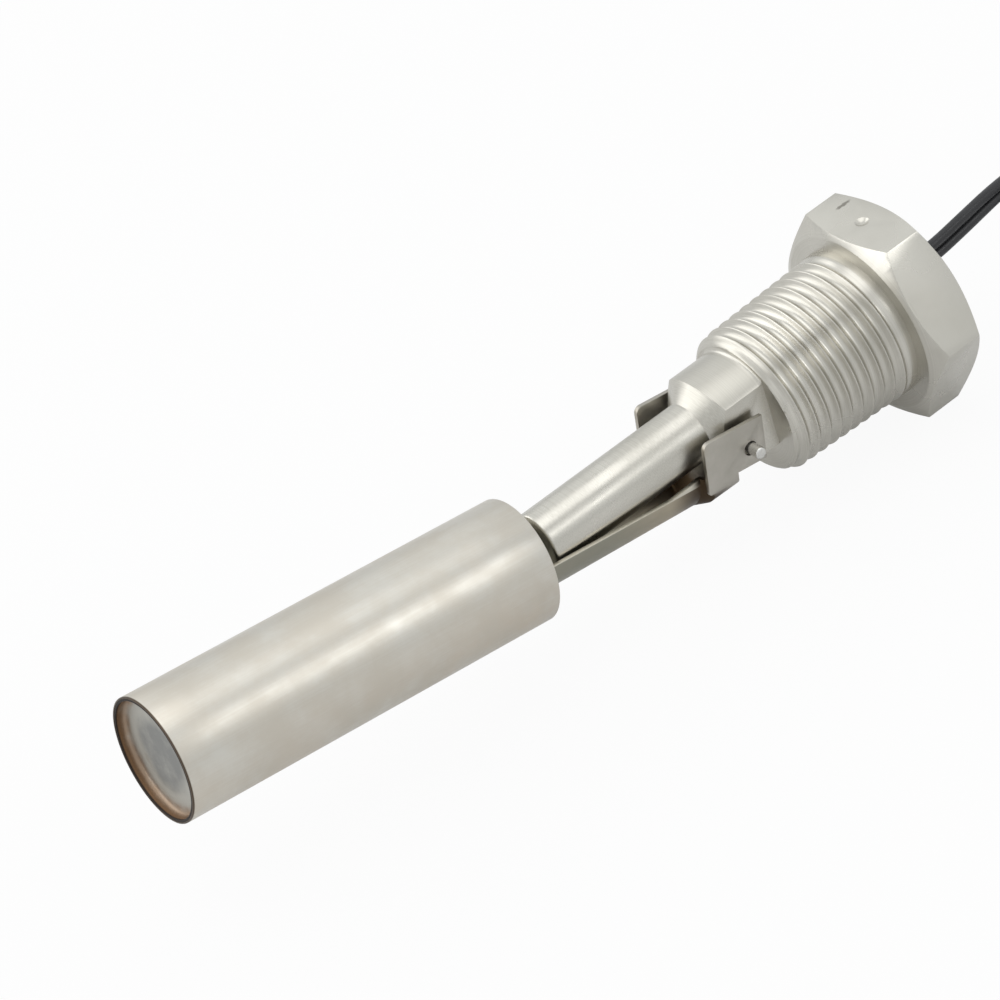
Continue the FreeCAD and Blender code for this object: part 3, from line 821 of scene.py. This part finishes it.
# carried-over nodes
carriedOver = {
    "pinStainless": {
        "nodes": ("hinge_pin_left", "hinge_pin_right"),
        "look": {"colour": (0.74, 0.73, 0.70), "roughness": 0.3, "metallic": 1.0, "depth": 0.05},
    },
    "magnetFerrite": {
        "nodes": ("float_magnet",),
        "look": {"colour": (0.07, 0.07, 0.075), "roughness": 0.55, "metallic": 0.3},
    },
    "holderNylon": {
        "nodes": ("magnet_holder",),
        "look": {"colour": (0.05, 0.05, 0.055), "roughness": 0.5},
    },
    "contactAlloy": {
        "nodes": ("reed_blade_front", "reed_blade_rear"),
        "look": {"colour": (0.72, 0.71, 0.67), "roughness": 0.25, "metallic": 1.0},
    },
    "spliceBrass": {
        "nodes": ("splice_upper", "splice_lower"),
        "look": {"colour": (0.72, 0.58, 0.33), "roughness": 0.35, "metallic": 1.0},
    },
    "sleeveTube": {
        "nodes": ("splice_sleeve_upper", "splice_sleeve_lower"),
        "look": {"colour": (0.62, 0.61, 0.57), "roughness": 0.35},
    },
    "pottingEpoxy": {
        "nodes": ("potting_resin",),
        "look": {"colour": (0.022, 0.022, 0.024), "roughness": 0.22, "grain": 700.0, "depth": 0.3},
    },
    "tieNylon": {
        "nodes": ("coil_tie",),
        "look": {"colour": (0.03, 0.03, 0.032), "roughness": 0.4},
    },
}


def paintNodes(material, *names):
    for name in names:
        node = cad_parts[name]
        node.data.materials.clear()
        node.data.materials.append(material)


for name, finish in carriedOver.items():
    paintNodes(makePlain(name, **finish["look"]), *finish["nodes"])
paintNodes(sheetSteel, "float_inner_cap")
paintNodes(leadCover, "lead_inside_upper", "lead_inside_lower")
paintNodes(makeGlass(), "reed_glass")
print("nodes painted")


# floor and light
stage = {"floor": -13.52 * mm, "size": 6.0, "white": 0.66, "seen": 0.93, "mirrored": 0.18}
room = {
    "colour": (0.97, 0.99, 1.0),
    # brighter overhead than along the horizon
    "height": (0.05, 0.65),
    "strength": (0.73, 1.04),
    # dim gaps between the soft lights, which draw darker bands along round metal:
    # from and to in degrees round X, and how dim
    "gaps": ((56, 76, 0.55), (104, 122, 0.35)),
    "gapEdge": 5,
}
lamps = {
    "keySoft": {"place": (-0.45, 0.65, 0.55), "aim": (0.04, 0, 0), "size": (0.5, 0.2),
                "power": 0.62},
    "backSoft": {"place": (0.45, -0.75, 0.55), "aim": (0.04, 0, 0), "size": (0.9, 0.7),
                 "power": 2.2},
    "topSoft": {"place": (0.0, 0.0, 0.9), "aim": (0.04, 0, 0), "size": (0.8, 0.8),
                "power": 1.6},
    "endSoft": {"place": (0.9, -0.3, 0.3), "aim": (0.02, 0, 0), "size": (0.45, 0.6),
                "power": 1.35},
}


def blendShaders(w, factor, first, second, target):
    blend = w.node("ShaderNodeMixShader")
    w.link(factor, blend.inputs["Fac"])
    w.link(first.outputs[0], blend.inputs[1])
    w.link(second.outputs[0], blend.inputs[2])
    w.link(blend.outputs[0], target.inputs["Surface"])


def makeFloor():
    deselectAll()
    bpy.ops.mesh.primitive_plane_add(size=stage["size"], location=(0, 0, stage["floor"]))
    floor = bpy.context.object
    floor.name = "floor"
    material = bpy.data.materials.new("paleFloor")
    material.use_nodes = True
    w = Wiring(material.node_tree)
    nodes = material.node_tree.nodes
    nodes.remove(nodes["Principled BSDF"])
    matt = w.node("ShaderNodeBsdfDiffuse")
    matt.inputs["Color"].default_value = (stage["white"],) * 3 + (1,)
    glow = w.node("ShaderNodeEmission")
    glow.inputs["Strength"].default_value = 1.0
    path = w.node("ShaderNodeLightPath")
    seen = w.calc("MULTIPLY", path.outputs["Is Camera Ray"], stage["seen"])
    bounced = w.calc("MAXIMUM", path.outputs["Is Glossy Ray"], path.outputs["Is Transmission Ray"])
    share = w.calc("MAXIMUM", seen, w.calc("MULTIPLY", bounced, stage["mirrored"]))
    blendShaders(w, share, matt, glow, nodes["Material Output"])
    floor.data.materials.append(material)


def makeWorld():
    world = bpy.data.worlds.new("studio")
    scene.world = world
    world.use_nodes = True
    w = Wiring(world.node_tree)
    plain = world.node_tree.nodes["Background"]
    plain.inputs["Color"].default_value = (*room["colour"], 1)
    _, y, z = w.split(w.node("ShaderNodeTexCoord").outputs["Generated"])
    level = w.ramp(z, *room["height"], *room["strength"])
    around = w.calc("ARCTAN2", z, y)
    for low, high, dim in room["gaps"]:
        rise = w.ramp(around, math.radians(low), math.radians(low + room["gapEdge"]))
        fall = w.ramp(around, math.radians(high), math.radians(high - room["gapEdge"]))
        gap = w.calc("MULTIPLY", w.calc("MULTIPLY", rise, fall), dim)
        level = w.calc("MULTIPLY", level, w.calc("SUBTRACT", 1.0, gap))
    w.link(level, plain.inputs["Strength"])
    white = w.node("ShaderNodeBackground")
    white.inputs["Strength"].default_value = 1.0
    path = w.node("ShaderNodeLightPath")
    blendShaders(w, path.outputs["Is Camera Ray"], plain, white,
                 world.node_tree.nodes["World Output"])


def makeLamp(name, setup):
    bpy.ops.object.light_add(type="AREA", location=setup["place"])
    lamp = bpy.context.object
    lamp.name = name
    lamp.data.shape = "RECTANGLE"
    lamp.data.size, lamp.data.size_y = setup["size"]
    lamp.data.energy = setup["power"]
    aim = Vector(setup["aim"]) - Vector(setup["place"])
    lamp.rotation_euler = aim.to_track_quat("-Z", "Y").to_euler()


makeFloor()
makeWorld()
deselectAll()
for name, setup in lamps.items():
    makeLamp(name, setup)
print("floor and light set")

scene.view_settings.view_transform = "Standard"
print("scene done")
